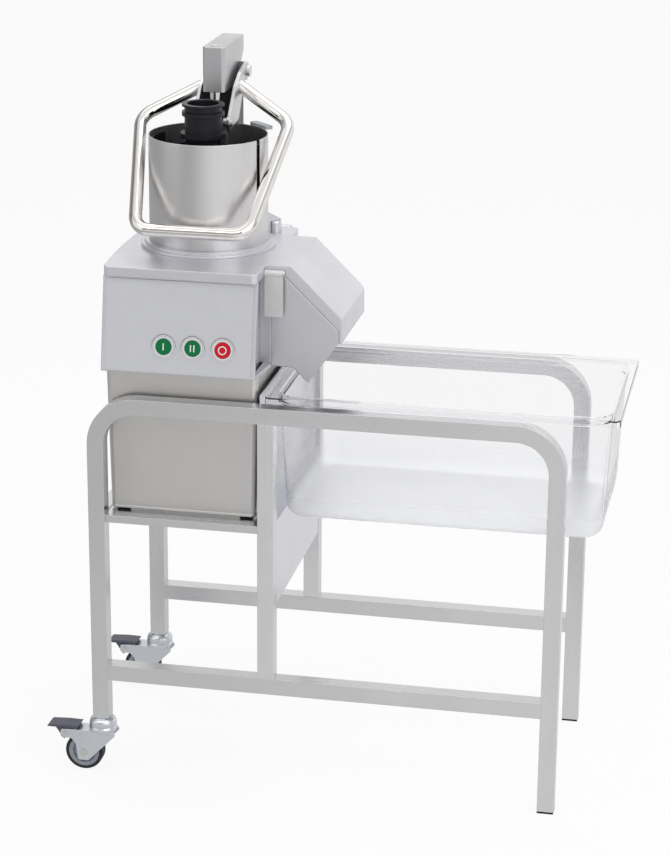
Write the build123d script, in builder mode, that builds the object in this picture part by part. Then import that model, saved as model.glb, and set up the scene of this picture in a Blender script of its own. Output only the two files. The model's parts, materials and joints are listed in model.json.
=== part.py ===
"""Vegetable cutting machine with a lever feed head, on a mobile tube stand with a clear pan.

Millimetres, +Z up. X runs along the stand, from the casters to the pan, and Y away from the
operator. The origin is on the floor, under the middle of the whole machine.
"""

import os
from math import asin, atan, cos, degrees, hypot, radians, sin

from build123d import *

# Fits between pieces
running_gap = 0.05  # radial, shafts and pins that turn or slide in their bores
seat_gap = 0.3  # between pieces of different moving groups
sheet = 1.5  # folded stainless sheet

# Stand
tube = 25.0  # square tube
tube_wall = 1.5
stand_length = 725.0
stand_depth = 368.0
rail_top = 617.5
bend_radius = 62.5  # centre line of the two top bends
lower_rail_top = 182.0
post_from_left = 263.5  # left face of the mid posts
foot_cap_height = 3.0
foot_cap_insert = 18.0
shelf_top = 429.0  # channels that carry the cutter
shelf_height = 12.0
shelf_width = 52.0
shelf_inset = 5.0
bar = 20.0  # square tube between the front and rear frames
guard_top = 630.0  # splash guard between cutter and pan
guard_bottom = 298.0
guard_gap = 1.5  # from the guard's upper leg to the posts' left faces

# Pan
pan_from_left = 269.0  # left end of the rim
pan_length = 530.0
pan_width = 325.0
pan_top = 628.0
pan_floor = 430.0
pan_wall = 2.5
pan_lip = 12.0  # flat rim outside the walls
pan_skirt = 2.2
pan_shoulder = 15.0  # height of the wider band under the rim
pan_shoulder_step = 3.0
pan_corner = 36.0
pan_rim_corner = 10.0
pan_lean = 9.0  # how far each wall leans in from shoulder to floor
pan_floor_radius = 20.0

# Casters
wheel_radius = 30.0
wheel_width = 19.0
tread = 5.5  # rubber on the rim
tyre_side = 1.5  # rubber standing proud of the rim's side
hub_length = 23.4
caster_trail = 29.5  # axle behind the swivel
fork_gap = 24.0  # between the fork's cheeks
fork_plate = 2.0
fork_top = 68.0
fork_front = 22.0  # front end of the cheeks, from the swivel
fork_ear = 7.0
race_diameter = 44.0
race_height = 22.0
stem_diameter = 12.0
stem_insert = 30.0
pedal_from_swivel = 59.0
pedal_pivot_height = 60.0
pedal_tip = 88.0  # from the swivel
pedal_end = 36.0  # from the swivel
pedal_width = 27.0
pedal_plate = 3.4
pedal_arm = 20.0
axle_diameter = 8.0
rivet_diameter = 5.0
rivet_head = 1.6

# Cutter base
hopper_from_left = 142.5
hopper_from_front = 200.0
base_bottom = 437.0
base_top = 657.0
base_from_front = 33.0
base_back_from_front = 335.0
base_half_bottom = 113.0
base_half_top = 117.5
base_middle_from_left = 139.5
base_corner = 9.0
base_sheet = 2.0
foot_diameter = 26.0

# Bowl housing and control panel
housing_top = 799.0
housing_half = 118.0
housing_wall = 5.0
panel_lean = 25.0  # how far the panel's foot stands in front of its head
bowl_radius = 103.0
bowl_wall = 5.0
bowl_floor = 712.0
floor_plate = 8.0
panel_sheet = 2.0
panel_margin = 6.0  # housing left bare beside the panel
panel_edge = 3.0  # housing left bare above and below the panel
panel_corner = 5.0
button_radius = 12.2
button_height = 699.0
button_places = (-21.5, 22.9, 68.8)  # from the middle of the panel
button_proud = 3.0
button_skirt = 15.5  # radius of the collar behind the cap
button_travel = 2.5
button_stem = 16.0
stem_radius = 7.0
recess_radius = 20.0  # moulded ring round each button
recess_width = 2.5
recess_height = 0.8

# Discharge, measured from the stand's left end
chute_front_y = 88.0  # from the stand's front
chute_back_y = 272.0
chute_wall = 4.0
chute_step = 8.0  # the front wall stands this far outside the housing
chute_step_back = 22.0
pocket_depth = 10.0  # beside the chute, in the housing's right side
pocket_ledge = 5.0
pocket_frame = 6.0  # left behind the control panel
chute_tip = (323.0, 635.0)
hood_flat_end = 296.0
hood_nose = 373.0
hood_nose_top = 742.0
hood_foot = 699.0
hood_band = 17.0  # height of the hood's sides, square to the slope
hood_wall = 4.0

# Lid
lid_top = 814.0
lid_wall = 5.0
lid_from_front = 26.0
lid_back_from_front = 327.0
lid_half = 117.5
lid_bulge = 5.0
hinge_from_front = 346.0
hinge_height = 804.5
hinge_pin = 8.0
knuckle = 8.0
ear_inner = 62.0  # hinge ears, from the hopper's middle
ear_outer = 98.0
ear_split = 80.0
latch_width = 28.0
latch_plate = 4.0
latch_bottom = 737.0
latch_pin = 6.0
latch_pin_height = 803.0
latch_from_front = 77.0

# Hopper
hopper_radius = 91.0
hopper_wall = 1.5
hopper_rim = 984.5
ring_radius = 104.0
ring_step = 98.5
ring_height = 9.0
slot_width = 9.0
slot_angle = -20.5
slot_depth = 114.0
tab_angle = 45.0
tab_length = 48.0
tab_width = 13.0
tab_height = 5.0
tab_leg = 10.0  # down the hopper's outside
tab_leg_reach = 7.0
knob_from_left = 226.0
knob_from_front = 293.0
knob_diameter = 20.0
knob_top = 832.0
gusset_top = 858.0
gusset_plate = 7.0

# Feed head
lift = 140.0  # pusher stroke
mast_half = 24.0
mast_foot_half = 34.0
mast_back_from_front = 337.0
cheek_gap = 17.3  # half the space between the mast's cheeks
cheek_back = 14.0
pivot_from_front = 334.0
pivot_height = 1058.0
mast_drop = 17.5  # from the pivot down to the mast's shoulders
mast_top = pivot_height - mast_drop
pivot_pin = 10.0
column_from_front = 313.0
column_diameter = 26.0
column_bottom = 832.0
rod_from_front = 247.0
rod_diameter = 18.0
head_half = 17.0
head_from_front = 234.0
head_back_from_front = 363.0
head_height = 69.0
head_bottom = mast_top + 0.5
head_top = head_bottom + head_height
head_cut = 46.0
head_chamfer = 4.0
pusher_bottom = 790.0
pusher_plate = 12.0
pusher_radius = 87.5
pusher_wall = 2.5
pusher_rim = 977.0
pusher_back_rim = 955.0  # lower, where the handle swings over it
pusher_back_start = 36.0  # behind the hopper's middle
pusher_notch_half = 41.0
pusher_notch_bottom = 915.0
feed_from_front = 169.0
feed_diameter = 54.0
feed_bore = 48.0
feed_top = 1037.0
feed_ring = 64.0
feed_flange = 68.0

# Lever and handle
arm_gap = 24.5  # half the space between the arms
arm_plate = 5.0
crank_length = 126.0
crank_angle = 29.0  # below level at rest
crank_pin = 8.0
crank_eye = 11.0
link_gap = 0.8  # between a link and its arm
link_plate = 5.0
link_length = 145.0
link_half = 7.0
link_slack = 3.5  # free height of the lower slot, above and below its pin
lug_from_front = 226.0
lug_half = 10.0
handle_diameter = 20.0
handle_wall = 2.0
handle_bar_half = 86.5
handle_wide_half = 117.5
handle_root_half = 36.0
handle_root = (291.0, 1037.0)  # from the stand's front, height
handle_bar = (88.0, 857.0)
handle_wide_down = 61.0  # from the root, along the slope
handle_wide_bend = 32.0
handle_bar_bend = 28.0

# Drive
motor_diameter = 150.0
motor_length = 190.0
motor_fin_pitch = 15.0  # degrees
motor_fin = 4.0
shaft_diameter = 20.0
shaft_in_motor = 60.0
seal_diameter = 40.0
disc_radius = 96.0
disc_height = 779.0
disc_plate = 3.0
blade_height = 2.5
blade_length = 66.0
blade_slot = 9.0
blade_width = 5.0
ejector_radius = 94.0
ejector_height = 26.0
vane = 5.0
nut_diameter = 34.0
nut_height = 5.0

# Places in the row frame
left = (pedal_tip - tube / 2 - pan_from_left - pan_length) / 2
front = -stand_depth / 2
leg_ys = {"front": front + tube / 2, "rear": -front - tube / 2}
rail_axis = rail_top - tube / 2
leg_x = left + tube / 2
post_x = left + post_from_left
hopper_x = left + hopper_from_left
hopper_y = front + hopper_from_front
base_x = left + base_middle_from_left
base_front = front + base_from_front
base_back = front + base_back_from_front
housing_right = base_x + housing_half
hinge_y = front + hinge_from_front
column_y = front + column_from_front
rod_y = front + rod_from_front
feed_y = front + feed_from_front
pivot_y = front + pivot_from_front
crank_y = pivot_y - crank_length * cos(radians(crank_angle))
crank_z = pivot_height - crank_length * sin(radians(crank_angle))
chute_ys = (front + chute_front_y, front + chute_back_y)
insert_size = tube - 2 * tube_wall

os.makedirs("parts", exist_ok=True)


def write(piece, name):
    """Label a finished piece and write it as its own STEP."""
    piece.part.label = name
    export_step(piece.part, f"parts/{name}.step")


def side(y):
    """Sketch plane across Y, drawn in X and Z. Extrusions come towards the operator."""
    return Plane(origin=(0, y, 0), x_dir=(1, 0, 0), z_dir=(0, -1, 0))


def end(x):
    """Sketch plane across X, drawn in Y and Z. Extrusions go towards +X."""
    return Plane.YZ.offset(x)


def level(z, x=0.0, y=0.0):
    """Horizontal sketch plane at height z, with its origin over (x, y)."""
    return Plane(origin=(x, y, z), x_dir=(1, 0, 0), z_dir=(0, 0, 1))


def tube_section(size, other=None):
    """Hollow rectangular section in the current sketch."""
    other = other or size
    Rectangle(size, other)
    Rectangle(size - 2 * tube_wall, other - 2 * tube_wall, mode=Mode.SUBTRACT)


# Stand

for name, leg_y in leg_ys.items():
    with BuildPart() as hoop:
        with BuildLine(side(leg_y)):
            path = FilletPolyline(
                (leg_x, fork_top + race_height + 1),
                (leg_x, rail_axis),
                (left + stand_length - tube / 2, rail_axis),
                (left + stand_length - tube / 2, foot_cap_height),
                radius=bend_radius,
            )
        with BuildSketch(Plane(origin=path @ 0, x_dir=(1, 0, 0), z_dir=path % 0)):
            tube_section(tube)
        sweep()
    write(hoop, f"{name}_hoop")

with BuildPart() as lower_rails:
    for leg_y in leg_ys.values():
        with BuildSketch(end(left + tube)):
            with Locations((leg_y, lower_rail_top - tube / 2)):
                tube_section(tube)
        extrude(amount=stand_length - 2 * tube)
write(lower_rails, "lower_rails")

with BuildPart() as mid_posts:
    for leg_y in leg_ys.values():
        with BuildSketch(level(lower_rail_top, post_x + tube / 2, leg_y)):
            tube_section(tube)
        extrude(amount=rail_top - tube - lower_rail_top)
write(mid_posts, "mid_posts")

shelf_ys = [front + shelf_inset + shelf_width / 2, -front - shelf_inset - shelf_width / 2]
with BuildPart() as shelf_channels:
    for shelf_y in shelf_ys:
        with BuildSketch(end(left + tube)):
            with Locations((shelf_y, shelf_top - shelf_height / 2)):
                Rectangle(shelf_width, shelf_height)
            with Locations((shelf_y, shelf_top - (shelf_height + sheet) / 2)):
                Rectangle(shelf_width - 2 * sheet, shelf_height - sheet, mode=Mode.SUBTRACT)
        extrude(amount=post_from_left - tube)
write(shelf_channels, "shelf_channels")

with BuildPart() as cross_bars:
    for bar_x in (leg_x, post_x + tube / 2):
        with BuildSketch(side(-front - tube)):
            with Locations((bar_x, shelf_top - bar / 2)):
                tube_section(bar)
        extrude(amount=stand_depth - 2 * tube)
write(cross_bars, "cross_bars")

guard_x = post_x - guard_gap
guard_drop = post_x + tube / 2 + bar / 2
with BuildPart() as splash_guard:
    with BuildSketch(side(-front - tube)):
        with BuildLine():
            Polyline(
                (guard_x, guard_top),
                (guard_x, shelf_top),
                (guard_drop, shelf_top),
                (guard_drop, guard_bottom),
                (guard_drop + sheet, guard_bottom),
                (guard_drop + sheet, shelf_top + sheet),
                (guard_x + sheet, shelf_top + sheet),
                (guard_x + sheet, guard_top),
                close=True,
            )
        make_face()
    extrude(amount=stand_depth - 2 * tube)
write(splash_guard, "splash_guard")

with BuildPart() as foot_caps:
    for leg_y in leg_ys.values():
        with BuildSketch(level(0, left + stand_length - tube / 2, leg_y)):
            Rectangle(tube, tube)
        extrude(amount=foot_cap_height)
        with BuildSketch(level(foot_cap_height, left + stand_length - tube / 2, leg_y)):
            Rectangle(insert_size, insert_size)
        extrude(amount=foot_cap_insert)
write(foot_caps, "foot_caps")

# Casters

axle_x = leg_x - caster_trail
pedal_x = leg_x - pedal_from_swivel
race_top = fork_top + race_height
race_radius = race_diameter / 2
cheek_places = (-fork_gap / 2, fork_gap / 2 + fork_plate)

with BuildPart() as caster_stems:
    for leg_y in leg_ys.values():
        with BuildSketch(level(race_top + 1, leg_x, leg_y)):
            Rectangle(insert_size, insert_size)
        extrude(amount=stem_insert)
        with BuildSketch(level(fork_top, leg_x, leg_y)):
            Circle(stem_diameter / 2)
        extrude(amount=race_height + 1)
        with BuildSketch(level(race_top + seat_gap, leg_x, leg_y)):
            Circle(race_radius * 0.62)
        extrude(amount=1 - seat_gap)
write(caster_stems, "caster_stems")

for name, leg_y in leg_ys.items():
    with BuildPart() as fork:
        for cheek in cheek_places:
            with BuildSketch(side(leg_y + cheek)):
                with BuildLine():
                    FilletPolyline(
                        (leg_x + fork_front, fork_top),
                        (leg_x + fork_front, fork_top - 6),
                        (axle_x + 8, wheel_radius - 13),
                        (axle_x - 9, wheel_radius - 13),
                        (axle_x - 12, wheel_radius + 14),
                        (pedal_x + 10, pedal_pivot_height - fork_ear),
                        (pedal_x - fork_ear, pedal_pivot_height - fork_ear),
                        (pedal_x - fork_ear, fork_top - 1),
                        (pedal_x + 12, fork_top),
                        radius=4,
                        close=True,
                    )
                make_face()
                with Locations((axle_x, wheel_radius)):
                    Circle(axle_diameter / 2, mode=Mode.SUBTRACT)
                with Locations((pedal_x, pedal_pivot_height)):
                    Circle(rivet_diameter / 2, mode=Mode.SUBTRACT)
            extrude(amount=fork_plate)
        with BuildSketch(level(fork_top - fork_plate, leg_x, leg_y)):
            with Locations((-race_radius / 2, 0)):
                Rectangle(2 * fork_front + race_radius - 6, fork_gap + 2 * fork_plate)
        extrude(amount=fork_plate)
        with BuildSketch(side(leg_y)):
            with BuildLine():
                Polyline(
                    (leg_x, fork_top),
                    (leg_x + race_radius - 1, fork_top),
                    (leg_x + race_radius, fork_top + 5),
                    (leg_x + race_radius - 2, fork_top + 8),
                )
                ThreePointArc(
                    (leg_x + race_radius - 2, fork_top + 8),
                    (leg_x + race_radius - 1, fork_top + 15),
                    (leg_x + race_radius * 0.62, race_top),
                )
                Polyline(
                    (leg_x + race_radius * 0.62, race_top), (leg_x, race_top), (leg_x, fork_top)
                )
            make_face()
        revolve(axis=Axis((leg_x, leg_y, 0), (0, 0, 1)))
        with BuildSketch(level(fork_top - fork_plate, leg_x, leg_y)):
            Circle(stem_diameter / 2 + running_gap)
        extrude(amount=race_height + fork_plate, mode=Mode.SUBTRACT)
    write(fork, f"{name}_caster_fork")

    with BuildPart() as pedal:
        with BuildSketch(side(leg_y + pedal_width / 2)):
            with BuildLine():
                Polyline(
                    (leg_x - pedal_tip, fork_top + 1.5),
                    (leg_x - pedal_tip + 3, fork_top + 1.5 + pedal_plate),
                    (leg_x - pedal_end - 22, fork_top + 3 + pedal_plate),
                    (leg_x - pedal_end, fork_top + 2.5 + pedal_plate),
                    (leg_x - pedal_end - 3, fork_top + 1.5),
                    close=True,
                )
            make_face()
        extrude(amount=pedal_width)
        with BuildSketch(side(leg_y + pedal_arm / 2)):
            with BuildLine():
                FilletPolyline(
                    (leg_x - pedal_tip + 12, fork_top + 2),
                    (pedal_x + 16, fork_top + 2),
                    (pedal_x + 8, pedal_pivot_height - 4),
                    (pedal_x - 3, pedal_pivot_height - 11),
                    radius=1.5,
                    close=True,
                )
            make_face()
            with Locations((pedal_x, pedal_pivot_height)):
                Circle(rivet_diameter / 2 + running_gap, mode=Mode.SUBTRACT)
        extrude(amount=pedal_arm)
    write(pedal, f"{name}_caster_pedal")

    with BuildPart() as wheel:
        with BuildSketch(level(wheel_radius)):
            with BuildLine():
                Polyline(
                    (axle_x + axle_diameter / 2 + running_gap, leg_y - hub_length / 2),
                    (axle_x + 10, leg_y - hub_length / 2),
                    (axle_x + 12, leg_y - wheel_width / 2 + 3),
                    (axle_x + 17, leg_y - wheel_width / 2 + 3),
                    (axle_x + 18, leg_y - wheel_width / 2),
                    (axle_x + wheel_radius - tread, leg_y - wheel_width / 2),
                    (axle_x + wheel_radius - tread, leg_y + wheel_width / 2),
                    (axle_x + 18, leg_y + wheel_width / 2),
                    (axle_x + 17, leg_y + wheel_width / 2 - 3),
                    (axle_x + 12, leg_y + wheel_width / 2 - 3),
                    (axle_x + 10, leg_y + hub_length / 2),
                    (axle_x + axle_diameter / 2 + running_gap, leg_y + hub_length / 2),
                    close=True,
                )
            make_face()
        revolve(axis=Axis((axle_x, 0, wheel_radius), (0, 1, 0)))
    write(wheel, f"{name}_caster_wheel")

    with BuildPart() as tyre:
        with BuildSketch(level(wheel_radius)):
            with Locations((axle_x + wheel_radius - tread / 2, leg_y)):
                Rectangle(tread, wheel_width)
        revolve(axis=Axis((axle_x, 0, wheel_radius), (0, 1, 0)))
        fillet(edges().filter_by(GeomType.CIRCLE).group_by(SortBy.RADIUS)[-1], tyre_side)
    write(tyre, f"{name}_caster_tyre")

    with BuildPart() as pins:
        across = fork_gap + 2 * fork_plate
        for pin_x, pin_z, size in (
            (axle_x, wheel_radius, axle_diameter),
            (pedal_x, pedal_pivot_height, rivet_diameter),
        ):
            with BuildSketch(side(leg_y + across / 2)):
                with Locations((pin_x, pin_z)):
                    Circle(size / 2)
            extrude(amount=across)
            for head_y in (leg_y - across / 2, leg_y + across / 2 + rivet_head):
                with BuildSketch(side(head_y)):
                    with Locations((pin_x, pin_z)):
                        Circle(size * 0.75)
                extrude(amount=rivet_head)
    write(pins, f"{name}_caster_pins")

# Pan

pan_x = left + pan_from_left + pan_length / 2
body_length = pan_length - 2 * pan_lip
body_width = pan_width - 2 * pan_lip
shoulder_z = pan_top - pan_shoulder
inner_length = body_length - 2 * pan_shoulder_step
inner_width = body_width - 2 * pan_shoulder_step


def pan_form(inset):
    """Wall surface of the pan, moved inwards by inset."""
    with BuildPart() as form:
        with BuildSketch(level(shoulder_z + inset, pan_x)):
            RectangleRounded(
                inner_length - 2 * inset, inner_width - 2 * inset, pan_corner - inset
            )
        with BuildSketch(level(pan_floor + inset, pan_x)):
            RectangleRounded(
                inner_length - 2 * pan_lean - 2 * inset,
                inner_width - 2 * pan_lean - 2 * inset,
                pan_corner - inset,
            )
        loft()
        fillet(form.faces().sort_by(Axis.Z)[0].edges(), pan_floor_radius - inset)
        with BuildSketch(level(shoulder_z + inset, pan_x)):
            RectangleRounded(body_length - 2 * inset, body_width - 2 * inset, pan_corner - inset)
        extrude(amount=pan_shoulder - inset if inset else pan_shoulder - pan_wall)
    return form.part


pan_outside = pan_form(0)
pan_inside = pan_form(pan_wall)
with BuildPart() as pan:
    add(pan_outside)
    with BuildSketch(level(pan_top - pan_wall, pan_x)):
        RectangleRounded(pan_length, pan_width, pan_rim_corner)
    extrude(amount=pan_wall)
    with BuildSketch(level(rail_top + seat_gap, pan_x)):
        RectangleRounded(pan_length, pan_width, pan_rim_corner)
        RectangleRounded(
            pan_length - 2 * pan_skirt,
            pan_width - 2 * pan_skirt,
            pan_rim_corner - pan_skirt,
            mode=Mode.SUBTRACT,
        )
    extrude(amount=pan_top - pan_wall - rail_top - seat_gap)
    add(pan_inside, mode=Mode.SUBTRACT)
    fillet(pan.faces().sort_by(Axis.Z)[-1].outer_wire().edges(), 1.2)
write(pan, "gn_pan")

# Cutter base

base_depth = base_back - base_front
base_y = (base_front + base_back) / 2


def base_form(inset):
    """Tapered body of the base, moved inwards by inset."""
    with BuildPart() as form:
        with BuildSketch(level(base_bottom, base_x, base_y)):
            RectangleRounded(
                2 * (base_half_bottom - inset), base_depth - 2 * inset, base_corner - inset
            )
        with BuildSketch(level(base_top, base_x, base_y)):
            RectangleRounded(
                2 * (base_half_top - inset), base_depth - 2 * inset, base_corner - inset
            )
        loft()
    return form.part


with BuildPart() as base_shell:
    add(base_form(0))
    add(base_form(base_sheet), mode=Mode.SUBTRACT)
write(base_shell, "base_shell")

plate_inset = base_sheet + 0.4
with BuildPart() as base_plate:
    with BuildSketch(level(base_bottom, base_x, base_y)):
        RectangleRounded(
            2 * (base_half_bottom - plate_inset),
            base_depth - 2 * plate_inset,
            base_corner - plate_inset,
        )
        with GridLocations(18, 18, 5, 5):
            Circle(4, mode=Mode.SUBTRACT)
    extrude(amount=3)
write(base_plate, "base_plate")

foot_spread = 2 * base_half_bottom - foot_diameter - 10
foot_back_inset = shelf_inset + shelf_width - foot_diameter / 2 - 3
with BuildPart() as base_feet:
    for foot_y in (front + foot_back_inset, -front - foot_back_inset):
        for foot_x in (base_x - foot_spread / 2, base_x + foot_spread / 2):
            with BuildSketch(level(shelf_top, foot_x, foot_y)):
                Circle(foot_diameter / 2)
            extrude(amount=base_bottom - shelf_top, taper=-4)
write(base_feet, "base_feet")

motor_top = bowl_floor - floor_plate
with BuildPart() as motor:
    with BuildSketch(level(motor_top - motor_length, hopper_x, hopper_y)):
        Circle(motor_diameter / 2)
        with PolarLocations(motor_diameter / 2, int(360 / motor_fin_pitch)):
            Rectangle(motor_fin, motor_fin, mode=Mode.SUBTRACT)
    extrude(amount=motor_length)
    with BuildSketch(level(motor_top - 10, hopper_x, hopper_y)):
        Circle(motor_diameter / 2 + 12)
    extrude(amount=10)
    with BuildSketch(level(motor_top, hopper_x, hopper_y)):
        Circle(shaft_diameter / 2 + running_gap)
    extrude(amount=-shaft_in_motor, mode=Mode.SUBTRACT)
write(motor, "motor")

# Bowl housing

slope_height = housing_top - base_top
lean = degrees(atan(panel_lean / slope_height))
housing_depth = base_back - base_front
face_in = cos(radians(lean)), -sin(radians(lean))


def face_y(z):
    """Front of the control panel at height z."""
    return base_front - panel_lean * (housing_top - z) / slope_height


def face_plane(z, depth=0.0):
    """Plane on the control panel's front at height z, set back by depth and facing outwards."""
    return Plane(
        origin=(base_x, face_y(z) + depth * face_in[0], z + depth * face_in[1]),
        x_dir=(1, 0, 0),
        z_dir=(0, -face_in[0], -face_in[1]),
    )


panel_back = panel_sheet / cos(radians(lean))
with BuildPart() as housing:
    with BuildSketch(end(base_x - housing_half)):
        with BuildLine():
            Polyline(
                (face_y(base_top) + panel_back, base_top),
                (face_y(housing_top) + panel_back, housing_top),
                (base_back, housing_top),
                (base_back, base_top),
                close=True,
            )
        make_face()
    extrude(amount=2 * housing_half)
    fillet(housing.edges().filter_by(Axis.Z), 10)
    with BuildSketch(level(base_top, base_x)):
        with Locations((0, (face_y(motor_top) + panel_back + base_back) / 2)):
            Rectangle(
                2 * (housing_half - housing_wall),
                base_back - face_y(motor_top) - panel_back - 2 * housing_wall,
            )
    extrude(amount=motor_top - base_top, mode=Mode.SUBTRACT)
    with BuildSketch(level(bowl_floor, hopper_x, hopper_y)):
        Circle(bowl_radius)
    extrude(amount=housing_top - bowl_floor, mode=Mode.SUBTRACT)
    with BuildSketch(level(bowl_floor, base_x)):
        with Locations((0, (base_front + panel_back + base_back) / 2)):
            Rectangle(
                2 * (housing_half - housing_wall),
                base_depth - panel_back - 2 * housing_wall,
            )
        with Locations((hopper_x - base_x, hopper_y)):
            Circle(bowl_radius + bowl_wall, mode=Mode.SUBTRACT)
        with Locations((housing_half - 14, hopper_y)):
            Rectangle(28, chute_back_y - chute_front_y, mode=Mode.SUBTRACT)
    extrude(amount=housing_top - bowl_floor, mode=Mode.SUBTRACT)
    with BuildSketch(level(bowl_floor, hopper_x, (chute_ys[0] + chute_ys[1]) / 2)):
        with Locations((bowl_radius, 0)):
            Rectangle(2 * bowl_radius, chute_ys[1] - chute_ys[0] - 2 * chute_wall)
    extrude(amount=housing_top - bowl_floor, mode=Mode.SUBTRACT)
    with BuildSketch(level(motor_top, hopper_x, hopper_y)):
        Circle(seal_diameter / 2)
    extrude(amount=floor_plate, mode=Mode.SUBTRACT)
    with BuildSketch(face_plane(button_height, panel_sheet)):
        with Locations([(place, 0) for place in button_places]):
            Circle(stem_radius + 1)
    extrude(amount=-button_stem - button_travel - 2, mode=Mode.SUBTRACT)
    with BuildSketch(face_plane(button_height, panel_sheet)):
        with Locations([(place, 0) for place in button_places]):
            Circle(button_radius + seat_gap)
    extrude(amount=-button_travel - seat_gap, mode=Mode.SUBTRACT)
    with BuildSketch(end(housing_right - pocket_depth - chute_wall)):
        with BuildLine():
            Polyline(
                (face_y(base_top) + panel_back + pocket_frame, base_top),
                (face_y(housing_top) + panel_back + pocket_frame, housing_top),
                (chute_ys[0] + chute_wall, housing_top),
                (chute_ys[0] + chute_wall, base_top),
                close=True,
            )
        make_face()
    extrude(amount=chute_wall)
    with BuildSketch(end(housing_right - pocket_depth)):
        with BuildLine():
            Polyline(
                (face_y(base_top) + panel_back + pocket_frame, base_top + pocket_ledge),
                (face_y(housing_top) + panel_back + pocket_frame, housing_top),
                (chute_ys[0], housing_top),
                (chute_ys[0], base_top + pocket_ledge),
                close=True,
            )
        make_face()
    extrude(amount=pocket_depth, mode=Mode.SUBTRACT)
    with BuildSketch(level(base_top)):
        with BuildLine():
            Polyline(
                (housing_right - 1, face_y(base_top) + panel_back + pocket_frame),
                (housing_right, face_y(base_top) + panel_back + pocket_frame),
                (housing_right + chute_step, chute_ys[0] - seat_gap),
                (housing_right - 1, chute_ys[0] - seat_gap),
                close=True,
            )
        make_face()
    extrude(amount=pocket_ledge)
    for ear_side in (-1, 1):
        with BuildSketch(end(hopper_x + ear_side * (ear_split + ear_outer) / 2)):
            with BuildLine():
                Polyline(
                    (base_back, housing_top - 16),
                    (base_back, housing_top),
                    (hinge_y, hinge_height + knuckle),
                    (hinge_y + knuckle, hinge_height),
                    close=True,
                )
            make_face()
            with Locations((hinge_y, hinge_height)):
                Circle(knuckle)
                Circle(hinge_pin / 2, mode=Mode.SUBTRACT)
        extrude(amount=(ear_outer - ear_split) / 2 - seat_gap, both=True)
write(housing, "bowl_housing")

with BuildPart() as shaft_seal:
    with BuildSketch(level(motor_top, hopper_x, hopper_y)):
        Circle(seal_diameter / 2)
        Circle(shaft_diameter / 2 + running_gap, mode=Mode.SUBTRACT)
    extrude(amount=floor_plate)
write(shaft_seal, "shaft_seal")

panel_length = slope_height / cos(radians(lean)) - 2 * panel_edge
panel_middle = (base_top + housing_top) / 2
button_down = (button_height - panel_middle) / cos(radians(lean))
button_spots = [(place, button_down) for place in button_places]
with BuildPart() as control_panel:
    with BuildSketch(face_plane(panel_middle)):
        RectangleRounded(2 * (housing_half - panel_margin), panel_length, panel_corner)
        with Locations(button_spots):
            Circle(button_skirt + seat_gap, mode=Mode.SUBTRACT)
    extrude(amount=-panel_sheet)
    with BuildSketch(face_plane(panel_middle)):
        with Locations(button_spots):
            Circle(recess_radius)
            Circle(recess_radius - recess_width, mode=Mode.SUBTRACT)
    extrude(amount=recess_height)
write(control_panel, "control_panel")

for name, place in zip(("start", "speed", "stop"), button_places):
    with BuildPart() as collar:
        with BuildSketch(face_plane(button_height, panel_sheet)):
            with Locations((place, 0)):
                Circle(button_skirt)
                Circle(button_radius + seat_gap, mode=Mode.SUBTRACT)
        extrude(amount=panel_sheet + 1.2)
    write(collar, f"{name}_button_collar")

    with BuildPart() as button:
        with BuildSketch(face_plane(button_height)):
            with Locations((place, 0)):
                Circle(button_radius)
        extrude(amount=button_proud)
        fillet(button.edges().sort_by(Axis.Y)[0], 1)
        with BuildSketch(face_plane(button_height)):
            with Locations((place, 0)):
                Circle(button_radius)
        extrude(amount=-panel_sheet)
        with BuildSketch(face_plane(button_height, panel_sheet)):
            with Locations((place, 0)):
                Circle(stem_radius)
        extrude(amount=-button_stem)
    write(button, f"{name}_button")

# Discharge

slope_run = hood_nose - 4 - hood_flat_end
slope_fall = lid_top - hood_nose_top
slope_size = hypot(slope_run, slope_fall)
slope_drop = hood_band * slope_size / slope_run
seam_start = (left + hood_flat_end - 11, housing_top)
seam_end = (left + hood_nose - hood_wall - seat_gap, hood_nose_top - slope_drop)

with BuildPart() as chute:
    for wall_y, wall_x in (
        (chute_ys[0] + chute_wall, housing_right + chute_step),
        (chute_ys[1], housing_right),
    ):
        with BuildSketch(side(wall_y)):
            with BuildLine():
                Polyline(
                    (wall_x, base_top + 1),
                    (wall_x, housing_top),
                    seam_start,
                    seam_end,
                    (seam_end[0], hood_foot),
                    (left + chute_tip[0], chute_tip[1]),
                    (left + chute_tip[0] - 22, base_top),
                    close=True,
                )
            make_face()
        extrude(amount=chute_wall)
    with BuildSketch(level(base_top + 1)):
        with BuildLine():
            Polyline(
                (housing_right + chute_step, chute_ys[0]),
                (housing_right + chute_step + chute_wall, chute_ys[0]),
                (housing_right + chute_step + chute_wall, chute_ys[0] + chute_step_back),
                (housing_right, chute_ys[0] + chute_step_back),
                (housing_right, chute_ys[0] + chute_step_back - chute_wall),
                (housing_right + chute_step, chute_ys[0] + chute_step_back - chute_wall),
                close=True,
            )
        make_face()
    extrude(amount=housing_top - base_top - 1)
    with BuildSketch(side(chute_ys[1])):
        with BuildLine():
            Polyline(
                (housing_right, bowl_floor - 6),
                (left + chute_tip[0], chute_tip[1] + 2),
                (left + chute_tip[0], chute_tip[1]),
                (left + chute_tip[0] - 6, chute_tip[1] + 4),
                (housing_right, bowl_floor - 12),
                close=True,
            )
        make_face()
    extrude(amount=chute_ys[1] - chute_ys[0])
write(chute, "chute")

# Lid

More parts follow.
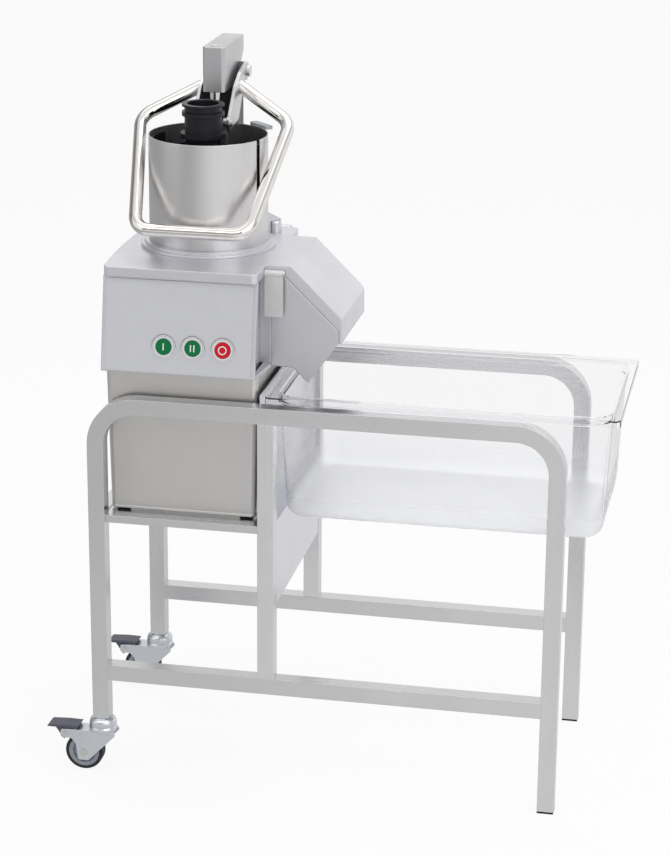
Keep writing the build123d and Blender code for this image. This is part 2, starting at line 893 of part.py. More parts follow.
lid_bottom = housing_top + seat_gap
lid_front = front + lid_from_front
lid_back = front + lid_back_from_front
lid_y = (lid_front + lid_back) / 2
lid_right = base_x + lid_half
latch_y = front + latch_from_front
pin_y = latch_y + latch_plate
with BuildPart() as lid:
    with BuildSketch(level(lid_bottom)):
        with BuildLine():
            Polyline(
                (base_x - lid_half + 2, lid_front),
                (lid_right, lid_front),
                (lid_right, lid_back),
                (base_x - lid_half + 2, lid_back),
            )
            ThreePointArc(
                (base_x - lid_half + 2, lid_back),
                (base_x - lid_half - lid_bulge, lid_y),
                (base_x - lid_half + 2, lid_front),
            )
        make_face()
        fillet(vertices(), 8)
    extrude(amount=lid_top - lid_bottom)
    with BuildSketch(level(lid_bottom, base_x, lid_y)):
        RectangleRounded(2 * lid_half - 2 * lid_wall, lid_back - lid_front - 2 * lid_wall, 4)
        with Locations((hopper_x - base_x, hopper_y - lid_y)):
            Circle(hopper_radius + lid_wall, mode=Mode.SUBTRACT)
        with Locations((lid_half - 12, pin_y - lid_y)):
            Rectangle(24, 20, mode=Mode.SUBTRACT)
    extrude(amount=lid_top - lid_wall - lid_bottom, mode=Mode.SUBTRACT)
    with BuildSketch(side(chute_ys[1])):
        with BuildLine():
            Polyline(
                (lid_right - lid_wall, lid_top),
                (left + hood_flat_end, lid_top),
                (left + hood_nose - 4, hood_nose_top),
                (left + hood_nose, hood_nose_top - 6),
                (left + hood_nose, hood_foot),
                (left + hood_nose - hood_wall, hood_foot),
                (left + hood_nose - hood_wall, seam_end[1] + seat_gap * 1.5),
                (seam_start[0] + seat_gap, lid_bottom),
                (lid_right - lid_wall, lid_bottom),
                close=True,
            )
        make_face()
    extrude(amount=chute_ys[1] - chute_ys[0])
    with BuildSketch(side(chute_ys[1] - hood_wall)):
        with BuildLine():
            Polyline(
                (lid_right - 2 * lid_wall, lid_top - lid_wall),
                (left + hood_flat_end - 2, lid_top - lid_wall),
                (left + hood_nose - hood_wall - 3, hood_nose_top - 4),
                (left + hood_nose - hood_wall, hood_nose_top - 7),
                (left + hood_nose - hood_wall, hood_foot - 1),
                (left + hood_nose - 40, hood_foot - 1),
                (lid_right - 2 * lid_wall, lid_bottom - 10),
                close=True,
            )
        make_face()
    extrude(amount=chute_ys[1] - chute_ys[0] - 2 * hood_wall, mode=Mode.SUBTRACT)
    with BuildSketch(level(lid_bottom, hopper_x, hopper_y)):
        Circle(hopper_radius - hopper_wall)
    extrude(amount=lid_top - lid_bottom, mode=Mode.SUBTRACT)
    for ear_side in (-1, 1):
        with BuildSketch(end(hopper_x + ear_side * (ear_inner + ear_split) / 2)):
            with BuildLine():
                Polyline(
                    (lid_back - lid_wall, lid_top - 1),
                    (hinge_y, hinge_height + knuckle),
                    (hinge_y - 5, lid_bottom + 1),
                    (lid_back - lid_wall, lid_bottom + 1),
                    close=True,
                )
            make_face()
            with Locations((hinge_y, hinge_height)):
                Circle(knuckle)
                Circle(hinge_pin / 2 + running_gap, mode=Mode.SUBTRACT)
        extrude(amount=(ear_split - ear_inner) / 2 - seat_gap, both=True)
    with BuildSketch(end(lid_right)):
        with Locations((pin_y, latch_pin_height)):
            Circle(latch_pin / 2)
    extrude(amount=-16, mode=Mode.SUBTRACT)
write(lid, "lid")

with BuildPart() as hinge_rod:
    with BuildSketch(end(hopper_x - ear_outer - 2)):
        with Locations((hinge_y, hinge_height)):
            Circle(hinge_pin / 2)
    extrude(amount=2 * ear_outer + 4)
write(hinge_rod, "hinge_pin")

latch_x = housing_right
with BuildPart() as latch:
    with BuildSketch(side(latch_y + latch_plate)):
        with Locations((latch_x + latch_width / 2, (latch_bottom + latch_pin_height) / 2)):
            RectangleRounded(latch_width, latch_pin_height - latch_bottom, 3)
    extrude(amount=latch_plate)
    with BuildSketch(end(latch_x)):
        with Locations((pin_y, latch_pin_height)):
            Circle(latch_pin / 2 + 2.5)
    extrude(amount=latch_width)
    with BuildSketch(end(latch_x)):
        with Locations((pin_y, latch_pin_height)):
            Circle(latch_pin / 2 + running_gap)
    extrude(amount=latch_width, mode=Mode.SUBTRACT)
write(latch, "lid_latch")

with BuildPart() as latch_rod:
    with BuildSketch(end(lid_right - 16)):
        with Locations((pin_y, latch_pin_height)):
            Circle(latch_pin / 2)
    extrude(amount=latch_x + latch_width + seat_gap - lid_right + 16)
    with BuildSketch(end(latch_x + latch_width + seat_gap)):
        with Locations((pin_y, latch_pin_height)):
            Circle(latch_pin / 2 + 1.5)
    extrude(amount=1.5)
write(latch_rod, "latch_pin")

# Hopper

knob_x = left + knob_from_left
knob_y = front + knob_from_front
knob_reach = hypot(knob_x - hopper_x, knob_y - hopper_y)
knob_way = ((knob_x - hopper_x) / knob_reach, (knob_y - hopper_y) / knob_reach)
with BuildPart() as ring:
    with BuildSketch(level(lid_top, hopper_x, hopper_y)):
        Circle(ring_radius)
        Circle(hopper_radius, mode=Mode.SUBTRACT)
    extrude(amount=ring_height / 2)
    with BuildSketch(level(lid_top + ring_height / 2, hopper_x, hopper_y)):
        Circle(ring_step)
        Circle(hopper_radius, mode=Mode.SUBTRACT)
    extrude(amount=ring_height / 2)
    gusset_plane = Plane(
        origin=(hopper_x, hopper_y, 0),
        x_dir=(knob_way[0], knob_way[1], 0),
        z_dir=(knob_way[1], -knob_way[0], 0),
    )
    with BuildSketch(gusset_plane):
        with BuildLine():
            Polyline(
                (hopper_radius + 0.1, lid_top + 2),
                (hopper_radius + 0.1, gusset_top),
                (knob_reach + knob_diameter / 2 - 1, knob_top + 2),
                (knob_reach + knob_diameter / 2 - 1, knob_top),
                (knob_reach - knob_diameter / 2 - 1, knob_top),
                (knob_reach - knob_diameter / 2 - 1, lid_top),
                (ring_radius - 2, lid_top),
                close=True,
            )
        make_face()
    extrude(amount=gusset_plate / 2, both=True)
write(ring, "hopper_base_ring")

with BuildPart() as hopper:
    with BuildSketch(level(lid_top, hopper_x, hopper_y)):
        Circle(hopper_radius)
        Circle(hopper_radius - hopper_wall, mode=Mode.SUBTRACT)
    extrude(amount=hopper_rim - lid_top)
    with BuildSketch(level(hopper_rim, hopper_x, hopper_y)):
        with PolarLocations(hopper_radius, 1, start_angle=slot_angle):
            Rectangle(20, slot_width)
    extrude(amount=-slot_depth, mode=Mode.SUBTRACT)
write(hopper, "hopper_cylinder")

tab_inside = hopper_radius - hopper_wall - 0.8
with BuildPart() as tab:
    with BuildSketch(level(hopper_rim, hopper_x, hopper_y)):
        with PolarLocations(tab_inside + tab_width / 2, 1, start_angle=tab_angle):
            RectangleRounded(tab_width, tab_length, 3)
        Circle(tab_inside, mode=Mode.SUBTRACT)
    extrude(amount=tab_height)
    with BuildSketch(level(hopper_rim, hopper_x, hopper_y)):
        with PolarLocations(hopper_radius, 1, start_angle=tab_angle):
            Rectangle(tab_leg_reach, tab_length / 2)
        Circle(hopper_radius, mode=Mode.SUBTRACT)
    extrude(amount=-tab_leg)
write(tab, "rim_tab")

with BuildPart() as knob:
    with BuildSketch(level(lid_top, knob_x, knob_y)):
        Circle(knob_diameter / 2)
    extrude(amount=knob_top - lid_top)
    fillet(knob.edges().sort_by(Axis.Z)[-1], 3)
write(knob, "lock_knob")

# Feed head

mast_front = hopper_y + hopper_radius + seat_gap
mast_back = front + mast_back_from_front
mast_bottom = lid_top + ring_height + seat_gap
pad_front = hopper_y + ring_radius + 1
screw_half = mast_foot_half + 5
with BuildPart() as mast:
    with BuildSketch(side(mast_back)):
        with BuildLine():
            Polyline(
                (hopper_x - mast_foot_half, mast_bottom),
                (hopper_x + mast_foot_half, mast_bottom),
                (hopper_x + mast_half, mast_bottom + 60),
                (hopper_x + mast_half, mast_top),
                (hopper_x - mast_half, mast_top),
                (hopper_x - mast_half, mast_bottom + 60),
                close=True,
            )
        make_face()
    extrude(amount=mast_back - mast_front)
    fillet(mast.edges().filter_by(Axis.Z).group_by(Axis.Y)[-1], 6)
    with BuildSketch(level(lid_top, hopper_x, (pad_front + lid_back) / 2)):
        RectangleRounded(2 * screw_half + 12, lid_back - pad_front, 5)
    extrude(amount=ring_height + seat_gap)
    with BuildSketch(end(hopper_x)):
        with BuildLine():
            Polyline(
                (pivot_y - 26, mast_top - 6),
                (pivot_y - 12, pivot_height + 7),
                (pivot_y + 12, pivot_height + 7),
                (mast_back, mast_top - 18),
                (pivot_y - 26, mast_top - 18),
                close=True,
            )
        make_face()
        with Locations((pivot_y, pivot_height)):
            Circle(cheek_back)
            Circle(pivot_pin / 2, mode=Mode.SUBTRACT)
    extrude(amount=mast_half, both=True)
    with BuildSketch(side(pivot_y + 2 * cheek_back)):
        with Locations((hopper_x, mast_top + 50)):
            Rectangle(2 * cheek_gap, 100)
    extrude(amount=100, mode=Mode.SUBTRACT)
    with BuildSketch(level(mast_top, hopper_x, column_y)):
        Circle(column_diameter / 2 + running_gap)
    extrude(amount=column_bottom - 6 - mast_top, mode=Mode.SUBTRACT)
write(mast, "mast")

with BuildPart() as mast_screws:
    for screw_x in (hopper_x - screw_half, hopper_x + screw_half):
        for screw_y in (pad_front + 5.5, lid_back - 5.5):
            with BuildSketch(level(mast_bottom, screw_x, screw_y)):
                Circle(4.2)
                RegularPolygon(2.3, 6, mode=Mode.SUBTRACT)
            extrude(amount=4)
write(mast_screws, "mast_screws")

with BuildPart() as head_box:
    with BuildSketch(end(hopper_x)):
        with BuildLine():
            Polyline(
                (front + head_from_front, head_bottom),
                (front + head_from_front, head_top),
                (front + head_back_from_front, head_top),
                (front + head_back_from_front, head_bottom + head_cut),
                (front + head_back_from_front - head_cut, head_bottom),
                close=True,
            )
        make_face()
    extrude(amount=head_half, both=True)
    chamfer(head_box.edges().filter_by(Axis.Z).group_by(Axis.Y)[0], head_chamfer)
    fillet(head_box.faces().sort_by(Axis.Z)[-1].edges(), 1.5)
    with BuildSketch(level(head_bottom, hopper_x, rod_y)):
        Circle(rod_diameter / 2)
    extrude(amount=head_top - head_bottom - 12, mode=Mode.SUBTRACT)
    with BuildSketch(level(head_bottom, hopper_x, rod_y)):
        Circle(rod_diameter / 2 - 3)
    extrude(amount=head_top - head_bottom, mode=Mode.SUBTRACT)
    with BuildSketch(level(head_bottom - 1, hopper_x, column_y)):
        Circle(column_diameter / 2)
    extrude(amount=31, mode=Mode.SUBTRACT)
write(head_box, "head_box")

with BuildPart() as guide_column:
    with BuildSketch(level(column_bottom, hopper_x, column_y)):
        Circle(column_diameter / 2)
    extrude(amount=head_bottom + 30 - column_bottom)
    chamfer(guide_column.edges().sort_by(Axis.Z)[0], 2)
write(guide_column, "guide_column")

rod_seat = pusher_bottom + 4
with BuildPart() as pusher_rod:
    with BuildSketch(level(rod_seat, hopper_x, rod_y)):
        Circle(rod_diameter / 2)
    extrude(amount=head_top - 12 - rod_seat)
    with BuildSketch(level(head_top - 12, hopper_x, rod_y)):
        Circle(rod_diameter / 2 - 3)
    extrude(amount=13)
write(pusher_rod, "pusher_rod")

pusher_top = pusher_bottom + pusher_plate
link_inside = arm_gap - link_gap - link_plate
lug_y = front + lug_from_front
lug_z = crank_z - link_length
with BuildPart() as cup:
    with BuildSketch(level(pusher_bottom, hopper_x, hopper_y)):
        Circle(pusher_radius)
    extrude(amount=pusher_plate)
    with BuildSketch(level(pusher_top, hopper_x, hopper_y)):
        Circle(pusher_radius)
        Circle(pusher_radius - pusher_wall, mode=Mode.SUBTRACT)
    extrude(amount=pusher_rim - pusher_top)
    with BuildSketch(level(pusher_back_rim, hopper_x, hopper_y + pusher_back_start + pusher_radius)):
        Rectangle(2 * pusher_radius, 2 * pusher_radius)
    extrude(amount=pusher_rim - pusher_back_rim, mode=Mode.SUBTRACT)
    with BuildSketch(level(pusher_notch_bottom, hopper_x, hopper_y + pusher_radius)):
        Rectangle(2 * pusher_notch_half, pusher_radius)
    extrude(amount=pusher_rim - pusher_notch_bottom, mode=Mode.SUBTRACT)
    with BuildSketch(level(pusher_bottom, hopper_x, feed_y)):
        Circle(feed_diameter / 2)
    extrude(amount=pusher_plate, mode=Mode.SUBTRACT)
    with BuildSketch(level(rod_seat, hopper_x, rod_y)):
        Circle(rod_diameter / 2)
    extrude(amount=pusher_plate, mode=Mode.SUBTRACT)
write(cup, "pusher_cup")

with BuildPart() as lugs:
    for way in (-1, 1):
        with BuildSketch(end(hopper_x + way * arm_gap)):
            with Locations((lug_y, lug_z)):
                Circle(lug_half)
            with Locations((lug_y, (pusher_top + lug_z) / 2)):
                Rectangle(2 * lug_half, lug_z - pusher_top)
            with Locations((lug_y, lug_z)):
                Circle(crank_pin / 2, mode=Mode.SUBTRACT)
        extrude(amount=way * arm_plate)
write(lugs, "pusher_lugs")

with BuildPart() as feed_tube:
    with BuildSketch(side(feed_y)):
        with BuildLine():
            Polyline(
                (hopper_x + feed_bore / 2, pusher_bottom),
                (hopper_x + feed_diameter / 2, pusher_bottom),
                (hopper_x + feed_diameter / 2, feed_top - 51),
                (hopper_x + feed_flange / 2, feed_top - 51),
                (hopper_x + feed_flange / 2, feed_top - 44),
                (hopper_x + feed_diameter / 2 + 1, feed_top - 44),
                (hopper_x + feed_diameter / 2 + 1, feed_top - 19),
                (hopper_x + feed_ring / 2, feed_top - 18),
                (hopper_x + feed_ring / 2, feed_top - 12),
                (hopper_x + feed_diameter / 2 + 1, feed_top - 11),
                (hopper_x + feed_diameter / 2 + 1, feed_top - 4),
                (hopper_x + feed_ring / 2, feed_top - 3.5),
                (hopper_x + feed_ring / 2, feed_top),
                (hopper_x + feed_bore / 2, feed_top),
                close=True,
            )
        make_face()
    revolve(axis=Axis((hopper_x, feed_y, 0), (0, 0, 1)))
write(feed_tube, "feed_tube")

# Lever and handle

swing = crank_angle + degrees(asin(lift / crank_length - sin(radians(crank_angle))))
root_y = front + handle_root[0]
root_z = handle_root[1]
with BuildPart() as arms:
    for way in (-1, 1):
        with BuildSketch(end(hopper_x + way * arm_gap)):
            with BuildLine():
                FilletPolyline(
                    (pivot_y, pivot_height + cheek_back),
                    (root_y + 2, root_z + 26),
                    (root_y - 30, root_z + 10),
                    (crank_y, crank_z + 11),
                    (crank_y - 8, crank_z - 8),
                    (crank_y + 6, crank_z - 11),
                    (root_y - 14, root_z - 43),
                    (pivot_y - 14, pivot_height - 8),
                    (pivot_y, pivot_height - cheek_back),
                    radius=4,
                    close=True,
                )
            make_face()
            with Locations((pivot_y, pivot_height)):
                Circle(cheek_back)
                Circle(pivot_pin / 2 + running_gap, mode=Mode.SUBTRACT)
            with Locations((crank_y, crank_z)):
                Circle(crank_eye)
                Circle(crank_pin / 2, mode=Mode.SUBTRACT)
        extrude(amount=way * arm_plate)
write(arms, "lever_arms")

arm_outside = arm_gap + arm_plate
with BuildPart() as pivot_bolts:
    for way in (-1, 1):
        with BuildSketch(end(hopper_x + way * (cheek_gap + 0.3))):
            with Locations((pivot_y, pivot_height)):
                Circle(pivot_pin / 2)
        extrude(amount=way * (arm_outside + seat_gap - cheek_gap - 0.3))
        with BuildSketch(end(hopper_x + way * (arm_outside + seat_gap))):
            with Locations((pivot_y, pivot_height)):
                Circle(9)
        extrude(amount=way * 5)
write(pivot_bolts, "pivot_bolts")

with BuildPart() as crank_pins:
    for way in (-1, 1):
        with BuildSketch(end(hopper_x + way * link_inside)):
            with Locations((crank_y, crank_z)):
                Circle(crank_pin / 2)
        extrude(amount=way * (arm_outside - link_inside))
        with BuildSketch(end(hopper_x + way * arm_outside)):
            with Locations((crank_y, crank_z)):
                Circle(6)
        extrude(amount=way * 2)
write(crank_pins, "crank_pins")

handle_slope = hypot(handle_root[0] - handle_bar[0], handle_root[1] - handle_bar[1])
handle_down = (
    0,
    (handle_bar[0] - handle_root[0]) / handle_slope,
    (handle_bar[1] - handle_root[1]) / handle_slope,
)
handle_plane = Plane(
    origin=(hopper_x, root_y, root_z),
    x_dir=(1, 0, 0),
    z_dir=(0, -handle_down[2], handle_down[1]),
)
down_sign = 1 if handle_plane.y_dir.Y * handle_down[1] > 0 else -1
shoulder_run = (handle_wide_half - handle_root_half) / handle_wide_down
with BuildPart() as handle:
    with BuildLine(handle_plane) as handle_line:
        FilletPolyline(
            (-handle_root_half + 14, -down_sign * 14 / shoulder_run),
            (-handle_wide_half, down_sign * handle_wide_down),
            (-handle_bar_half, down_sign * handle_slope),
            (handle_bar_half, down_sign * handle_slope),
            (handle_wide_half, down_sign * handle_wide_down),
            (handle_root_half - 14, -down_sign * 14 / shoulder_run),
            radius=[handle_wide_bend, handle_bar_bend, handle_bar_bend, handle_wide_bend],
        )
    handle_path = handle_line.wires()[0]
    with BuildSketch(Plane(origin=handle_path @ 0, z_dir=handle_path % 0)):
        Circle(handle_diameter / 2)
        Circle(handle_diameter / 2 - handle_wall, mode=Mode.SUBTRACT)
    sweep(path=handle_path)
    with BuildSketch(end(hopper_x)):
        with Locations((root_y, root_z)):
            Rectangle(90, 90)
    extrude(amount=arm_outside, both=True, mode=Mode.SUBTRACT)
write(handle, "handle_loop")

crank_y_front = pivot_y - crank_length
crank_y_back = pivot_y - crank_length * cos(radians(swing - crank_angle))
slot_front = crank_y + lug_y - crank_y_back - crank_pin / 2 - 0.6
slot_back = crank_y + lug_y - crank_y_front + crank_pin / 2 + 0.6
slot_height = crank_pin + 2 * link_slack
slot_frame = 3.5
with BuildPart() as links:
    for way in (-1, 1):
        with BuildSketch(end(hopper_x + way * link_inside)):
            with Locations((crank_y, crank_z)):
                Circle(link_half + 1)
            with Locations((crank_y, crank_z - link_length / 2)):
                Rectangle(2 * link_half, link_length)
            with Locations(((slot_front + slot_back) / 2, lug_z)):
                RectangleRounded(
                    slot_back - slot_front + 2 * slot_frame, slot_height + 2 * slot_frame, 5
                )
                RectangleRounded(slot_back - slot_front, slot_height, 3, mode=Mode.SUBTRACT)
            with Locations((crank_y, crank_z)):
                Circle(crank_pin / 2 + running_gap, mode=Mode.SUBTRACT)
        extrude(amount=way * link_plate)
write(links, "lever_links")

with BuildPart() as lug_pins:
    for way in (-1, 1):
        with BuildSketch(end(hopper_x + way * link_inside)):
            with Locations((lug_y, lug_z)):
                Circle(crank_pin / 2)
        extrude(amount=way * (arm_outside + 1.5 - link_inside))
write(lug_pins, "lug_pins")

# Drive

disc_top = disc_height + disc_plate
with BuildPart() as shaft:
    with BuildSketch(level(motor_top - shaft_in_motor + 2, hopper_x, hopper_y)):
        Circle(shaft_diameter / 2)
    extrude(amount=disc_top - motor_top + shaft_in_motor - 2)
    with BuildSketch(level(disc_top, hopper_x, hopper_y)):
        Circle(shaft_diameter / 2 - 4)
    extrude(amount=nut_height)
write(shaft, "drive_shaft")

with BuildPart() as ejector:
    with BuildSketch(level(bowl_floor + 8, hopper_x, hopper_y)):
        Circle(ejector_radius)
    extrude(amount=3)
    with BuildSketch(level(bowl_floor + 4, hopper_x, hopper_y)):
        Circle(shaft_diameter)
    extrude(amount=disc_height - bowl_floor - 4)
    with BuildSketch(level(bowl_floor + 8, hopper_x, hopper_y)):
        with PolarLocations(ejector_radius / 2 + 6, 3):
            Rectangle(ejector_radius - 16, vane)
    extrude(amount=ejector_height)
    with BuildSketch(level(bowl_floor, hopper_x, hopper_y)):
        Circle(shaft_diameter / 2)
    extrude(amount=disc_height - bowl_floor, mode=Mode.SUBTRACT)
write(ejector, "ejector_disc")

with BuildPart() as slicer:
    with BuildSketch(level(disc_height, hopper_x, hopper_y)):
        Circle(disc_radius)
        with PolarLocations(disc_radius / 2 + 9, 2):
            SlotOverall(blade_length, blade_slot, mode=Mode.SUBTRACT)
        Circle(shaft_diameter / 2, mode=Mode.SUBTRACT)
    extrude(amount=disc_plate)
    with BuildSketch(level(disc_top, hopper_x, hopper_y)):
        with PolarLocations(disc_radius / 2 + 9, 2):
            with Locations((0, 7)):
                Rectangle(blade_length, blade_width)
    extrude(amount=blade_height)
    fillet(slicer.edges().filter_by(GeomType.CIRCLE).group_by(SortBy.RADIUS)[-1], 1)
write(slicer, "slicing_disc")

with BuildPart() as nut:
    with BuildSketch(level(disc_top, hopper_x, hopper_y)):
        RegularPolygon(nut_diameter / 2, 6)
        Circle(shaft_diameter / 2 - 4, mode=Mode.SUBTRACT)
    extrude(amount=nut_height)
write(nut, "disc_nut")
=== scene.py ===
"""Looks for the vegetable cutting machine: camera, studio, materials and small trim.

Metres, in the object's own frame: +X from the casters towards the pan, +Y away from the operator, +Z up.
"""

import json
from math import cos, pi, radians, sin

import bmesh
import bpy
from mathutils import Matrix, Vector


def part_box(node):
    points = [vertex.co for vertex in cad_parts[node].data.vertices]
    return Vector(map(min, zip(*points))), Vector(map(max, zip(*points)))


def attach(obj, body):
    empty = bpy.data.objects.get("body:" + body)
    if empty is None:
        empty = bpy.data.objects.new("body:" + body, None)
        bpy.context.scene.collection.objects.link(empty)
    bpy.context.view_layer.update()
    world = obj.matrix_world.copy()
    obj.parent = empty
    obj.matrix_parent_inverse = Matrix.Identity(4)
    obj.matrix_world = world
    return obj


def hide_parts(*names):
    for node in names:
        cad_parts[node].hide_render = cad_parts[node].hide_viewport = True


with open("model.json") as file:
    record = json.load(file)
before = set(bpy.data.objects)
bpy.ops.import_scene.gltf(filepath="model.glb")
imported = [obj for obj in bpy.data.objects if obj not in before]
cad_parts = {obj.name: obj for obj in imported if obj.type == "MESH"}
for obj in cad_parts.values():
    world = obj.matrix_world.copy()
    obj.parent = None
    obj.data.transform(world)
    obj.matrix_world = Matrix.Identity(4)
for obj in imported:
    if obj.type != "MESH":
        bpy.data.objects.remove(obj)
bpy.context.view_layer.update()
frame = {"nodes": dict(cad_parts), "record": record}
cad = frame["nodes"]
scene = bpy.context.scene

# Camera, fitted to the photograph's edges
PICTURE = (670, 856)
FOCAL_PX = 2550.58
CAMERA_AT = Vector((0.7080, -3.68817, 1.77796))
YAW, PITCH, ROLL = -0.1939, -0.3197, 0.0086
SENSOR = 36.0
CLIP_END = 60

forward = Vector((sin(YAW) * cos(PITCH), cos(YAW) * cos(PITCH), sin(PITCH)))
level_right = Vector((cos(YAW), -sin(YAW), 0))
level_up = level_right.cross(forward)
right = cos(ROLL) * level_right + sin(ROLL) * level_up
up = cos(ROLL) * level_up - sin(ROLL) * level_right
lens = bpy.data.cameras.new("camera")
lens.sensor_width = SENSOR
lens.lens = FOCAL_PX * SENSOR / max(PICTURE)
lens.clip_end = CLIP_END
camera = bpy.data.objects.new("camera", lens)
turn = Matrix((right, up, -forward)).transposed().to_4x4()
camera.matrix_world = Matrix.Translation(CAMERA_AT) @ turn
scene.collection.objects.link(camera)
scene.camera = camera
scene.view_settings.view_transform = "Standard"


class Shader:
    """A material's node tree, with short calls for the nodes that the finishes share."""

    def __init__(self, name, **sockets):
        self.material = bpy.data.materials.new(name)
        self.material.use_nodes = True
        self.tree = self.material.node_tree
        self.shader = self.tree.nodes["Principled BSDF"]
        for socket, value in sockets.items():
            self.shader.inputs[socket.replace("_", " ")].default_value = value
        self.place = self.add("ShaderNodeTexCoord").outputs["Object"]

    def add(self, kind, settings=None, **inputs):
        """A node with its settings, and inputs that are values or other nodes' outputs."""
        node = self.tree.nodes.new(kind)
        for key, value in (settings or {}).items():
            setattr(node, key, value)
        for key, value in inputs.items():
            self.put(node.inputs[key.replace("_", " ")], value)
        return node

    def put(self, socket, value):
        """Sets a socket, or links it where value is another node's output."""
        if isinstance(value, bpy.types.NodeSocket):
            self.tree.links.new(value, socket)
        else:
            socket.default_value = value

    def noise(self, scale, stretch=(1, 1, 1), detail=3.0, roughness=0.55, distortion=0.0):
        """Noise of so many features a metre, stretched along an axis where stretch is small."""
        mapping = self.add("ShaderNodeMapping", Vector=self.place, Scale=stretch)
        return self.add(
            "ShaderNodeTexNoise",
            Vector=mapping.outputs[0],
            Scale=scale,
            Detail=detail,
            Roughness=roughness,
            Distortion=distortion,
        ).outputs["Fac"]

    def spread(self, value, low, high, start=0.3, stop=0.7):
        """value, from start to stop, spread from low to high."""
        return self.add(
            "ShaderNodeMapRange",
            **{"Value": value, "From Min": start, "From Max": stop, "To Min": low, "To Max": high},
        ).outputs["Result"]

    def ramp(self, value, *stops):
        """Colour ramp with (place, colour) stops."""
        ramp = self.add("ShaderNodeValToRGB", Fac=value)
        elements = ramp.color_ramp.elements
        while len(elements) < len(stops):
            elements.new(0.5)
        for element, (at, colour) in zip(elements, stops):
            element.position = at
            element.color = (*colour, 1)
        return ramp.outputs["Color"]

    def mix(self, factor, a, b):
        """Colour a where factor is 0, and b where it is 1."""
        node = self.add("ShaderNodeMix", {"data_type": "RGBA"})
        for socket, value in zip((node.inputs[0], node.inputs[6], node.inputs[7]), (factor, a, b)):
            self.put(socket, (*value, 1) if isinstance(value, tuple) and len(value) == 3 else value)
        return node.outputs[2]

    def blend(self, factor, a, b):
        """Number a where factor is 0, and b where it is 1."""
        node = self.add("ShaderNodeMix", {"data_type": "FLOAT"})
        for socket, value in zip((node.inputs[0], node.inputs[2], node.inputs[3]), (factor, a, b)):
            self.put(socket, value)
        return node.outputs[0]

    def axis(self, name):
        """The surface's own X, Y or Z, in metres."""
        return self.add("ShaderNodeSeparateXYZ", Vector=self.place).outputs[name]

    def edges(self, radius):
        """Normals that round each sharp edge off by radius."""
        return self.add("ShaderNodeBevel", {"samples": 6}, Radius=radius).outputs[0]

    def finish(self, colour=None, roughness=None, height=None, depth=0.0001, strength=0.3, edge=0.0):
        """Connects what varies over the surface to the shader."""
        if colour is not None:
            self.put(self.shader.inputs["Base Color"], colour)
        if roughness is not None:
            self.put(self.shader.inputs["Roughness"], roughness)
        normal = self.edges(edge) if edge else None
        if height is not None:
            bump = self.add("ShaderNodeBump", Height=height, Distance=depth, Strength=strength)
            if normal:
                self.put(bump.inputs["Normal"], normal)
            normal = bump.outputs[0]
        if normal:
            self.put(self.shader.inputs["Normal"], normal)
        return self.material


def tint(colour, factor):
    """A colour made lighter or darker, no part of it over 1."""
    return tuple(min(1, c * factor) for c in colour)


# Features a metre: hairlines, wider bands and slow clouds in brushed steel, clouds in castings,
# flow marks in plastic and in the pan, and wipe marks in polished steel
HAIRLINES, BANDS, CLOUDS = 900, 90, 9
CAST_CLOUDS = 14
PLASTIC_FLOW, PAN_FLOW = 25, 9
WIPES = 60
# How far the height at which the hairlines turn is blurred
TURN_BLUR = 0.004


def brushed(name, colour, along, rough=(0.25, 0.31), split=None, edge=0.0014, contrast=0.018):
    """Brushed stainless with hairlines along an axis, or along X above a height and Z below it."""
    surface = Shader(name, Metallic=1.0)
    stretches = {"X": (0.02, 1, 1), "Y": (1, 0.02, 1), "Z": (1, 1, 0.02)}
    hair = surface.noise(HAIRLINES, stretches[along], detail=4)
    band = surface.noise(BANDS, stretches[along], detail=2)
    if split:
        low = surface.spread(surface.axis("Z"), 0, 1, split - TURN_BLUR, split + TURN_BLUR)
        hair = surface.blend(low, surface.noise(HAIRLINES, stretches["Z"], detail=4), hair)
        band = surface.blend(low, surface.noise(BANDS, stretches["Z"], detail=2), band)
    cloud = surface.noise(CLOUDS, detail=2)
    dark, light = tint(colour, 1 - contrast), tint(colour, 1 + contrast)
    tone = surface.ramp(band, (0.3, dark), (0.7, light))
    tone = surface.mix(surface.spread(hair, 0, 0.4), tone, tint(colour, 1 - 2 * contrast))
    tone = surface.mix(surface.spread(cloud, 0, 0.35), tone, tint(colour, 0.88))
    return surface.finish(
        tone, surface.spread(hair, *rough), hair, depth=0.00003, strength=0.08, edge=edge
    )


def cast(name, colour, rough=(0.28, 0.38), metallic=0.75, edge=0.003, grain=1500, contrast=0.06):
    """Blasted and lacquered aluminium casting: fine grain, slow tone changes, rounded edges."""
    surface = Shader(name, Metallic=metallic, Specular_IOR_Level=0.5)
    fine = surface.noise(grain, detail=2)
    slow = surface.noise(CAST_CLOUDS, detail=3)
    tone = surface.ramp(fine, (0.32, tint(colour, 1 - contrast)), (0.68, tint(colour, 1 + contrast)))
    tone = surface.mix(surface.spread(slow, 0, 0.45), tone, tint(colour, 0.9))
    return surface.finish(
        tone, surface.spread(slow, *rough), fine, depth=0.00012, strength=0.22, edge=edge
    )


def moulded(name, colour, rough=(0.3, 0.42), grain=1800, edge=0.0008, contrast=0.12, **sockets):
    """Moulded plastic or rubber with a fine texture."""
    surface = Shader(name, **sockets)
    fine = surface.noise(grain, detail=2)
    slow = surface.noise(PLASTIC_FLOW, detail=3)
    tone = surface.ramp(slow, (0.3, tint(colour, 1 - contrast)), (0.7, tint(colour, 1 + contrast)))
    return surface.finish(
        tone, surface.spread(slow, *rough), fine, depth=0.00008, strength=0.2, edge=edge
    )


